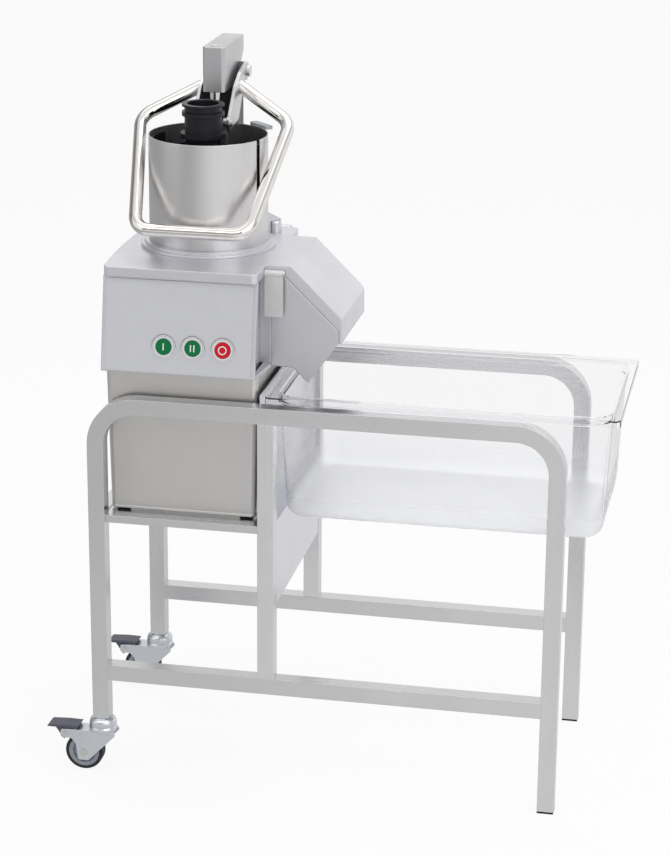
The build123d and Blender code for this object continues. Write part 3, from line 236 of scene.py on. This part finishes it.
def polished(name, colour, rough=(0.03, 0.09), edge=0.0):
    """Polished steel, with faint wipe marks in its gloss."""
    surface = Shader(name, Metallic=1.0)
    wipe = surface.noise(WIPES, (1, 1, 0.3), detail=4)
    tone = surface.ramp(wipe, (0.3, tint(colour, 0.95)), (0.7, tint(colour, 1.04)))
    return surface.finish(tone, surface.spread(wipe, *rough), edge=edge)


# Pointiness at which an edge starts to rub through and is rubbed most, and the share bare there
RUB_START, RUB_END, RUB_MOST = 0.54, 0.62, 0.6


def worn(material_maker, name, colour, bare, **options):
    """A painted finish whose sharp edges are rubbed towards bare."""
    material = material_maker(name, colour, **options)
    tree = material.node_tree
    shader = tree.nodes["Principled BSDF"]
    link = shader.inputs["Base Color"].links[0]
    point = tree.nodes.new("ShaderNodeNewGeometry").outputs["Pointiness"]
    rubbed = tree.nodes.new("ShaderNodeMapRange")
    rubbed.inputs["From Min"].default_value = RUB_START
    rubbed.inputs["From Max"].default_value = RUB_END
    rubbed.inputs["To Max"].default_value = RUB_MOST
    mix = tree.nodes.new("ShaderNodeMix")
    mix.data_type = "RGBA"
    tree.links.new(point, rubbed.inputs["Value"])
    tree.links.new(rubbed.outputs["Result"], mix.inputs[0])
    tree.links.new(link.from_socket, mix.inputs[6])
    mix.inputs[7].default_value = (*bare, 1)
    tree.links.new(mix.outputs[2], shader.inputs["Base Color"])
    return material


# The pan: the heights between which it turns milky, its tones, how much light each zone lets
# through, how rough each is, and how much of the light it keeps from what lies in its shadow
MILKY_ZONE = (0.436, 0.515)
MILKY_TONE = (0.965, 0.969, 0.985)
CLEAR_TONE = (0.945, 0.946, 0.951)
MILKY_TRANSMISSION = 0.86
CLEAR_TRANSMISSION = 1.0
MILKY_ROUGHNESS = 0.4
CLEAR_ROUGHNESS = (0.02, 0.05)
PAN_SHADE = 0.15


def clear_pan(name):
    """Clear polycarbonate that turns milky towards its floor, and lets most light through."""
    surface = Shader(name, IOR=1.2, Specular_IOR_Level=0.5)
    height = surface.axis("Z")
    flow = surface.noise(PAN_FLOW, (1, 1, 0.3), detail=2)
    clear = surface.spread(height, 0, 1, *MILKY_ZONE)
    tone = surface.mix(clear, MILKY_TONE, CLEAR_TONE)
    tone = surface.mix(surface.spread(flow, 0, 0.25), tone, tint(CLEAR_TONE, 0.985))
    surface.put(surface.shader.inputs["Transmission Weight"],
                surface.blend(clear, MILKY_TRANSMISSION, CLEAR_TRANSMISSION))
    shadow = surface.add("ShaderNodeLightPath").outputs["Is Shadow Ray"]
    surface.put(surface.shader.inputs["Alpha"], surface.spread(shadow, 1, PAN_SHADE, 0, 1))
    return surface.finish(
        tone, surface.blend(clear, MILKY_ROUGHNESS, surface.spread(flow, *CLEAR_ROUGHNESS))
    )


# Colours that several finishes share, and the height at which the hoops' hairlines turn upright
STEEL = (0.74, 0.74, 0.75)
SILVER = (0.72, 0.72, 0.76)
BLACK = (0.009, 0.009, 0.014)
BARE = (0.09, 0.09, 0.1)
LEG_BEND_HEIGHT = 0.565

# Finishes, by material slot of the record
finishes = {
    "stainless_tube": brushed("tube_steel", STEEL, "X", split=LEG_BEND_HEIGHT),
    "stainless_sheet": brushed("sheet_steel", (0.70, 0.69, 0.675), "Z", rough=(0.36, 0.44)),
    "hopper_steel": brushed("hopper_satin", (0.70, 0.69, 0.69), "Z", rough=(0.27, 0.33),
                            contrast=0.02),
    "cast_aluminium": cast("cast_lacquered", SILVER),
    "head_steel": cast("head_cast", (0.56, 0.555, 0.57), metallic=0.85, edge=0.0015),
    "polished_steel": polished("steel_polished", (0.77, 0.75, 0.725)),
    "lever_steel": brushed("lever_satin", (0.66, 0.66, 0.67), "Z", rough=(0.3, 0.38)),
    "latch_finish": cast("latch_coarse", (0.72, 0.72, 0.715), rough=(0.55, 0.65), metallic=0.4,
                         edge=0.001, grain=420, contrast=0.09),
    "zinc_plate": brushed("zinc_bright", (0.72, 0.75, 0.79), "Y", rough=(0.24, 0.36)),
    "steel_fixings": polished("steel_turned", (0.68, 0.67, 0.66), rough=(0.16, 0.26), edge=0.0004),
    "cutter_steel": brushed("disc_ground", (0.72, 0.72, 0.72), "Y", rough=(0.2, 0.3)),
    "black_cast": worn(cast, "black_cast_worn", BLACK, BARE, rough=(0.36, 0.46), metallic=0.0,
                       edge=0.001),
    "black_plastic": moulded("black_moulded", BLACK, rough=(0.3, 0.42), Specular_IOR_Level=0.25),
    "dark_plastic": moulded("grey_moulded", (0.085, 0.085, 0.115), rough=(0.38, 0.48),
                            Specular_IOR_Level=0.4),
    "wheel_plastic": moulded("wheel_moulded", (0.27, 0.29, 0.33), rough=(0.4, 0.5)),
    "tyre_rubber": moulded("tyre_black", (0.02, 0.02, 0.026), rough=(0.55, 0.75), grain=900,
                           Specular_IOR_Level=0.35),
    "pale_plastic": moulded("tab_grey", (0.50, 0.52, 0.56), rough=(0.35, 0.45), contrast=0.05),
    "panel_film": moulded("panel_printed", (0.64, 0.645, 0.675), rough=(0.3, 0.38), grain=2600,
                          contrast=0.03, edge=0.0003, Metallic=0.55),
    "white_plastic": moulded("mark_white", (0.85, 0.85, 0.85), rough=(0.2, 0.3), contrast=0.03),
    "green_plastic": moulded("cap_green", (0.0, 0.15, 0.042), rough=(0.22, 0.3), contrast=0.1,
                             Specular_IOR_Level=0.2),
    "red_plastic": moulded("cap_red", (0.58, 0.008, 0.02), rough=(0.22, 0.3), contrast=0.1,
                           Specular_IOR_Level=0.2),
    "motor_paint": cast("motor_grey", (0.2, 0.21, 0.22), metallic=0.1, edge=0.0006),
    "clear_plastic": clear_pan("pan_clear"),
}
collar_silver = moulded("collar_silver", (0.74, 0.74, 0.76), rough=(0.18, 0.26), contrast=0.03,
                        edge=0.0003, Metallic=0.8)
# Nodes whose finish differs from the rest of their slot
special = {
    "lower_rails": brushed("rail_steel", STEEL, "X"),
    "shelf_channels": brushed("channel_steel", STEEL, "X"),
    "mid_posts": brushed("post_steel", tint(STEEL, 1.1), "Z"),
    "splash_guard": brushed("guard_steel", (0.86, 0.86, 0.90), "Z", rough=(0.34, 0.42)),
    "bowl_housing": cast("housing_lacquered", tint(SILVER, 0.93)),
    "chute": cast("chute_lacquered", tint(SILVER, 0.95)),
    "start_button_collar": collar_silver,
    "speed_button_collar": collar_silver,
    "stop_button_collar": collar_silver,
}
for part in frame["record"]["subparts"]:
    node = part["node"]
    for socket in cad[node].material_slots:
        socket.material = special.get(node, finishes[part["material_slot"]])


def piece(name, mesh, material, body, smooth=True):
    """Puts a mesh in the scene as a piece that rides on a body."""
    obj = bpy.data.objects.new(name, mesh)
    scene.collection.objects.link(obj)
    obj.data.materials.append(material)
    for polygon in obj.data.polygons:
        polygon.use_smooth = smooth
    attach(obj, body)
    return obj


def loop_strip(shape, outline, low, high, wall):
    """An upright band of sheet that follows a closed outline, its inside a wall further in."""
    count = len(outline)
    middle = Vector((sum(x for x, y in outline) / count, sum(y for x, y in outline) / count))
    inner = []
    for i, point in enumerate(outline):
        along = Vector(outline[(i + 1) % count]) - Vector(outline[i - 1])
        inward = Vector((-along.y, along.x)).normalized() * wall
        inner.append(Vector(point) + (inward if inward.dot(middle - Vector(point)) > 0 else -inward))
    rings = [[shape.verts.new((x, y, z)) for x, y in loop]
             for loop, z in ((outline, high), (outline, low), (inner, low), (inner, high))]
    for upper, lower in zip(rings, rings[1:] + rings[:1]):
        for i in range(count):
            j = (i + 1) % count
            shape.faces.new((upper[i], upper[j], lower[j], lower[i]))


def rounded_rectangle(x0, x1, y0, y1, radius, steps=8):
    """Points of a rectangle with round corners, anticlockwise."""
    corners = ((x1, y1, 0), (x0, y1, 1), (x0, y0, 2), (x1, y0, 3))
    points = []
    for x, y, quarter in corners:
        cx = x - radius if x == x1 else x + radius
        cy = y - radius if y == y1 else y + radius
        for i in range(steps + 1):
            angle = (quarter + i / steps) * pi / 2
            points.append((cx + radius * cos(angle), cy + radius * sin(angle)))
    return points


def ring(radius, count=64):
    """Points of a circle round the origin."""
    angles = [2 * pi * i / count for i in range(count)]
    return [(radius * cos(angle), radius * sin(angle)) for angle in angles]


# An edge at which two faces turn by more than this is sharp
SHARP = radians(40)


def finished_mesh(shape, name, bevel=0.0):
    """A mesh from a bmesh, its sharp edges bevelled."""
    bmesh.ops.recalc_face_normals(shape, faces=shape.faces)
    if bevel:
        sharp = [edge for edge in shape.edges if edge.calc_face_angle(0) > SHARP]
        bmesh.ops.bevel(shape, geom=sharp, offset=bevel, segments=2, affect="EDGES", profile=0.5)
    mesh = bpy.data.meshes.new(name)
    shape.to_mesh(mesh)
    shape.free()
    return mesh


def box_shape(shape, low, high):
    """Adds the box between two corners to a bmesh."""
    made = bmesh.ops.create_cube(shape, size=1)
    size = [b - a for a, b in zip(low, high)]
    middle = [(a + b) / 2 for a, b in zip(low, high)]
    bmesh.ops.scale(shape, vec=size, verts=made["verts"])
    bmesh.ops.translate(shape, vec=middle, verts=made["verts"])


# The base's folded lower edge, which hides the rubber feet but for a dark gap: the slack in
# finding the shell's lowest points, its lap with the shell, its depth, its corners and its sheet
LEVEL_SLACK = 0.0004
SKIRT_LAP = 0.0002
SKIRT_DROP = 0.0045
SKIRT_CORNER = 0.009
SKIRT_WALL = 0.0015
base_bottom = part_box("base_shell")[0][2]
at_bottom = [v.co for v in cad["base_shell"].data.vertices if v.co.z < base_bottom + LEVEL_SLACK]
edge_x = (min(p.x for p in at_bottom), max(p.x for p in at_bottom))
edge_y = (min(p.y for p in at_bottom), max(p.y for p in at_bottom))
skirt = bmesh.new()
loop_strip(skirt, rounded_rectangle(*edge_x, *edge_y, SKIRT_CORNER),
           base_bottom - SKIRT_DROP, base_bottom + SKIRT_LAP, SKIRT_WALL)
piece("base_lower_edge", finished_mesh(skirt, "base_lower_edge"), finishes["stainless_sheet"],
      "stand")

# Rubber feet, tucked behind that edge
FOOT_RADII = (0.009, 0.0105, 0.0105)
FOOT_CHAMFER = 0.0015
FOOT_INSET = 0.0165
FOOT_SIDES = 32
foot_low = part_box("base_feet")[0][2]
foot_levels = (foot_low, foot_low + FOOT_CHAMFER, base_bottom)
feet = bmesh.new()
for x in (edge_x[0] + FOOT_INSET, edge_x[1] - FOOT_INSET):
    for y in (edge_y[0] + FOOT_INSET, edge_y[1] - FOOT_INSET):
        rings = [[feet.verts.new((x + dx, y + dy, z)) for dx, dy in ring(radius, FOOT_SIDES)]
                 for radius, z in zip(FOOT_RADII, foot_levels)]
        for lower, upper in zip(rings, rings[1:]):
            for i in range(FOOT_SIDES):
                j = (i + 1) % FOOT_SIDES
                feet.faces.new((lower[i], lower[j], upper[j], upper[i]))
        feet.faces.new(rings[0][::-1])
        feet.faces.new(rings[-1])
rubber_feet = piece("rubber_feet", finished_mesh(feet, "rubber_feet"), finishes["tyre_rubber"],
                    "stand")
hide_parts("base_feet")

# The wall that closes the recess beside the chute: how far it reaches to the left and the right
# of the chute's left side, how far it stands above the housing's bottom and in front of the
# chute, its sheet, the height of its top and its eased edges
RECESS_DEPTH, RECESS_STEP = 0.010, 0.008
RECESS_LEDGE = 0.005
RECESS_FRONT = 0.0007
RECESS_SHEET = 0.0008
RECESS_TOP = 0.7985
RECESS_EDGE = 0.0002
housing_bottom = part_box("bowl_housing")[0][2]
chute_left, chute_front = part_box("chute")[0][:2]
wall_front = chute_front - RECESS_FRONT
recess = bmesh.new()
box_shape(recess,
          (chute_left - RECESS_DEPTH, wall_front, housing_bottom + RECESS_LEDGE),
          (chute_left + RECESS_STEP, wall_front + RECESS_SHEET, RECESS_TOP))
piece("recess_wall", finished_mesh(recess, "recess_wall", bevel=RECESS_EDGE),
      special["bowl_housing"], "stand", smooth=False)

# The panel's face: how far it leans back, a point on it level with the buttons, its way out and
# its way up, and each button's place along it from that point
LEAN = radians(9.985)
FACE = Vector((-0.22225, -0.16861, 0.699))
OUT = Vector((0, -cos(LEAN), sin(LEAN)))
UP_FACE = Vector((0, sin(LEAN), cos(LEAN)))
PLACES = {"start": -0.0215, "speed": 0.0229, "stop": 0.0688}
# How far a shape laid on the face is let into it, so that no gap shows
LET_IN = 0.00005

# Symbols on the buttons: plain bars and a ring, raised a little from each cap
CAP_PROUD = 0.003
MARK_RISE = 0.00035
BAR_HALF_WIDTH, BAR_HALF_HEIGHT, BAR_CORNER = 0.0009, 0.0052, 0.0004
BAR_OFFSET = 0.0026
STOP_RING = (0.0050, 0.0066)


def prism(outline, hole=(), rise=MARK_RISE):
    """A closed outline in the face's own X and Y, with or without a hole, raised off the face."""
    shape = bmesh.new()
    if hole:
        count = len(outline)
        rings = [[shape.verts.new((x, y, z)) for x, y in loop]
                 for loop, z in ((outline, 0), (outline, rise), (hole, rise), (hole, 0))]
        for one, other in zip(rings, rings[1:] + rings[:1]):
            for i in range(count):
                j = (i + 1) % count
                shape.faces.new((one[i], one[j], other[j], other[i]))
    else:
        low = [shape.verts.new((x, y, 0)) for x, y in outline]
        base = shape.faces.new(low)
        grown = bmesh.ops.extrude_face_region(shape, geom=[base])
        top = [v for v in grown["geom"] if isinstance(v, bmesh.types.BMVert)]
        bmesh.ops.translate(shape, verts=top, vec=(0, 0, rise))
    bmesh.ops.recalc_face_normals(shape, faces=shape.faces)
    return shape


def on_face(shape, place, name, proud=0.0):
    """Lays a shape on the panel at a place along it, so far proud of its face, as a mesh."""
    centre = FACE + Vector((place, 0, 0)) + OUT * (proud - LET_IN)
    axes = Matrix((Vector((1, 0, 0)), UP_FACE, OUT)).transposed().to_4x4()
    bmesh.ops.transform(shape, matrix=Matrix.Translation(centre) @ axes, verts=shape.verts)
    mesh = bpy.data.meshes.new(name)
    shape.to_mesh(mesh)
    shape.free()
    return mesh


def bar(x, steps=4):
    """Outline of an upright bar with rounded corners, its middle at x."""
    points = []
    for k, (sx, sy) in enumerate(((1, 1), (-1, 1), (-1, -1), (1, -1))):
        for i in range(steps + 1):
            angle = (k + i / steps) * pi / 2
            points.append((x + sx * (BAR_HALF_WIDTH - BAR_CORNER) + BAR_CORNER * cos(angle),
                           sy * (BAR_HALF_HEIGHT - BAR_CORNER) + BAR_CORNER * sin(angle)))
    return points


# Each button sits in a round groove of the panel, inside a raised ring. A pale ring on the groove's
# floor is painted light, and a thin dark arc along the ring's upper lip is painted shadow
GROOVE = (0.0157, 0.01745)
SHADOW_ARC_RADIUS = 0.0184
RING_PROUD = 0.0008
SHADOW_ARC_RISE = 0.0002
SHADOW_ARC_WIDTH = 0.0009
SHADOW_ARC_ENDS = (radians(-12), radians(192))
SHADOW_ARC_STEPS = 48
SHADOW_ARC_POINT = 0.00002


def arc_band(shape, radius, width, rise, start, stop, steps):
    """A thin raised band along an arc, tapered to nothing at both ends."""
    rows = []
    for i in range(steps + 1):
        angle = start + (stop - start) * i / steps
        half = width / 2 * sin(pi * i / steps) ** 0.5 if 0 < i < steps else SHADOW_ARC_POINT
        corners = ((radius - half, 0), (radius - half, rise), (radius + half, rise), (radius + half, 0))
        rows.append([shape.verts.new((r * cos(angle), r * sin(angle), z)) for r, z in corners])
    for a, b in zip(rows, rows[1:]):
        for i in range(len(a)):
            j = (i + 1) % len(a)
            shape.faces.new((a[i], a[j], b[j], b[i]))
    shape.faces.new(rows[0])
    shape.faces.new(rows[-1][::-1])
    bmesh.ops.recalc_face_normals(shape, faces=shape.faces)
    return shape


# Dark grey for the thin arc along each ring's upper lip: painted shadow of the ring's upper wall
painted_shadow_grey = moulded("painted_shadow_grey", (0.16, 0.16, 0.19), rough=(0.4, 0.5), contrast=0.05)
# Paler than the panel film: light painted onto the floor of the groove round each button
painted_light_groove = moulded("painted_light_groove", (0.70, 0.70, 0.73), rough=(0.3, 0.38), contrast=0.03)
for button, place in PLACES.items():
    # The groove's floor, a pale ring that carries the painted light
    painted_light_ring = prism(ring(GROOVE[1]), ring(GROOVE[0]))
    piece(f"{button}_well", on_face(painted_light_ring, place, f"{button}_well"), painted_light_groove,
          "stand", smooth=False)
    # A thin dark band along the ring's upper lip, painting the shadow there
    painted_shadow_arc = arc_band(bmesh.new(), SHADOW_ARC_RADIUS, SHADOW_ARC_WIDTH, SHADOW_ARC_RISE, *SHADOW_ARC_ENDS, SHADOW_ARC_STEPS)
    piece(f"{button}_lip", on_face(painted_shadow_arc, place, f"{button}_lip", RING_PROUD), painted_shadow_grey,
          "stand", smooth=False)

marks = (
    ("start_mark", "start", prism(bar(0))),
    ("speed_mark_left", "speed", prism(bar(-BAR_OFFSET))),
    ("speed_mark_right", "speed", prism(bar(BAR_OFFSET))),
    ("stop_mark", "stop", prism(ring(STOP_RING[1]), ring(STOP_RING[0]))),
)
for name, button, mark in marks:
    piece(name, on_face(mark, PLACES[button], name, CAP_PROUD), finishes["white_plastic"],
          f"{button}_button", smooth=False)


# Studio: what the world and the floor show depends on the kind of ray that meets them
def compute(tree, operation, *values):
    """The result of a Math node on numbers or other nodes' outputs."""
    node = tree.nodes.new("ShaderNodeMath")
    node.operation = operation
    for socket, value in zip(node.inputs, values):
        if isinstance(value, bpy.types.NodeSocket):
            tree.links.new(value, socket)
        else:
            socket.default_value = value
    return node.outputs[0]


def rays(tree, *kinds):
    """1 where the light path is of one of these kinds, and 0 elsewhere."""
    path = tree.nodes.new("ShaderNodeLightPath")
    total = path.outputs[kinds[0]]
    for kind in kinds[1:]:
        total = compute(tree, "MAXIMUM", total, path.outputs[kind])
    return total


def fade(tree, value, start, stop, low, high):
    """From low where value is start to high where it is stop, smoothly."""
    node = tree.nodes.new("ShaderNodeMapRange")
    node.interpolation_type = "SMOOTHSTEP"
    for key, number in (("From Min", start), ("From Max", stop), ("To Min", low), ("To Max", high)):
        node.inputs[key].default_value = number
    tree.links.new(value, node.inputs["Value"])
    return node.outputs["Result"]


def choose(tree, factor, a, b):
    """a where factor is 0, and b where it is 1."""
    rest = compute(tree, "SUBTRACT", 1.0, factor)
    return compute(tree, "ADD", compute(tree, "MULTIPLY", a, rest),
                   compute(tree, "MULTIPLY", b, factor))


def mirrored(tree):
    """1 where a surface reflects the ray, and 0 where it comes straight or through the pan."""
    through = compute(tree, "SUBTRACT", 1.0, rays(tree, "Is Transmission Ray"))
    return compute(tree, "MULTIPLY", rays(tree, "Is Glossy Ray"), through)


# The room that gloss sees: darker walls on both sides and behind the camera, and a dark band
# between the lamps overhead. Each is where it starts and stops along X, Y or Z, and its two levels.
LEFT_WALL = (-0.95, -0.25, 0.30, 1.0)
RIGHT_WALL = (0.90, 0.99, 1.0, 0.45)
BAND_LOW = (0.38, 0.46, 1.0, 0.6)
BAND_HIGH = (0.62, 0.72, 0.0, 0.4)
CAMERA_SIDE = (-0.95, -0.45, 0.5, 1.0)
ABOVE_HORIZON = (0.10, 0.25, 0.0, 1.0)
ROOM_LIGHT = 0.62
BACKDROP = 0.965

world = bpy.data.worlds.new("studio")
scene.world = world
world.use_nodes = True
tree = world.node_tree
direction = tree.nodes.new("ShaderNodeSeparateXYZ")
tree.links.new(tree.nodes.new("ShaderNodeTexCoord").outputs["Generated"], direction.inputs[0])
across, away, upward = (direction.outputs[axis] for axis in "XYZ")
walls = compute(tree, "MULTIPLY", fade(tree, across, *LEFT_WALL), fade(tree, across, *RIGHT_WALL))
band = compute(tree, "ADD", fade(tree, upward, *BAND_LOW), fade(tree, upward, *BAND_HIGH))
front = choose(tree, fade(tree, upward, *ABOVE_HORIZON), 1.0, fade(tree, away, *CAMERA_SIDE))
room = compute(tree, "MULTIPLY", compute(tree, "MULTIPLY", walls, band), front)
plain = choose(tree, rays(tree, "Is Camera Ray", "Is Transmission Ray"), ROOM_LIGHT, BACKDROP)
strength = choose(tree, mirrored(tree), plain, room)
background = tree.nodes["Background"]
tree.links.new(strength, background.inputs["Strength"])
background.inputs["Color"].default_value = (1, 1, 1, 1)

# The floor glows towards the camera and keeps a faint shadow, and gloss sees it darker on the left
FLOOR_HALF = 40.0
PAPER = (0.93, 0.93, 0.93, 1)
PAPER_ROUGHNESS = 0.9
PAPER_SPECULAR = 0.1
FLOOR_GLOW = 0.88
FLOOR_IN_GLOSS = (-2.2, 1.8, 0.45, 0.92)
floor_mesh = bpy.data.meshes.new("floor")
floor_mesh.from_pydata(
    [(x * FLOOR_HALF, y * FLOOR_HALF, 0) for x, y in ((-1, -1), (1, -1), (1, 1), (-1, 1))],
    [], [(0, 1, 2, 3)],
)
floor = bpy.data.objects.new("floor", floor_mesh)
scene.collection.objects.link(floor)
paper = bpy.data.materials.new("paper")
paper.use_nodes = True
tree = paper.node_tree
diffuse = tree.nodes["Principled BSDF"]
diffuse.inputs["Base Color"].default_value = PAPER
diffuse.inputs["Roughness"].default_value = PAPER_ROUGHNESS
diffuse.inputs["Specular IOR Level"].default_value = PAPER_SPECULAR
place = tree.nodes.new("ShaderNodeSeparateXYZ")
tree.links.new(tree.nodes.new("ShaderNodeTexCoord").outputs["Object"], place.inputs[0])
gloss = mirrored(tree)
seen = compute(tree, "MULTIPLY", rays(tree, "Is Camera Ray", "Is Transmission Ray"), FLOOR_GLOW)
glow = tree.nodes.new("ShaderNodeEmission")
in_gloss = fade(tree, place.outputs["X"], *FLOOR_IN_GLOSS)
tree.links.new(choose(tree, gloss, 1.0, in_gloss), glow.inputs["Strength"])
blend = tree.nodes.new("ShaderNodeMixShader")
tree.links.new(compute(tree, "MAXIMUM", seen, gloss), blend.inputs[0])
tree.links.new(diffuse.outputs[0], blend.inputs[1])
tree.links.new(glow.outputs[0], blend.inputs[2])
tree.links.new(blend.outputs[0], tree.nodes["Material Output"].inputs["Surface"])
floor_mesh.materials.append(paper)


MIDDLE = Vector((0, 0, 0.6))


def soft_box(name, place, size, power):
    """A rectangular area lamp that faces the object's middle."""
    light = bpy.data.lights.new(name, "AREA")
    light.shape = "RECTANGLE"
    light.size, light.size_y = size
    light.energy = power
    obj = bpy.data.objects.new(name, light)
    obj.location = place
    obj.rotation_euler = (MIDDLE - Vector(place)).to_track_quat("-Z", "Y").to_euler()
    scene.collection.objects.link(obj)


soft_box("key", (2.2, -2.4, 3.0), (3.0, 3.0), 36)
soft_box("strip", (-0.8, -1.9, 3.0), (2.6, 0.9), 9)
soft_box("fill", (-2.8, -1.6, 1.8), (2.4, 2.8), 14)
soft_box("top", (0.2, 0.8, 3.2), (3.2, 2.2), 22)
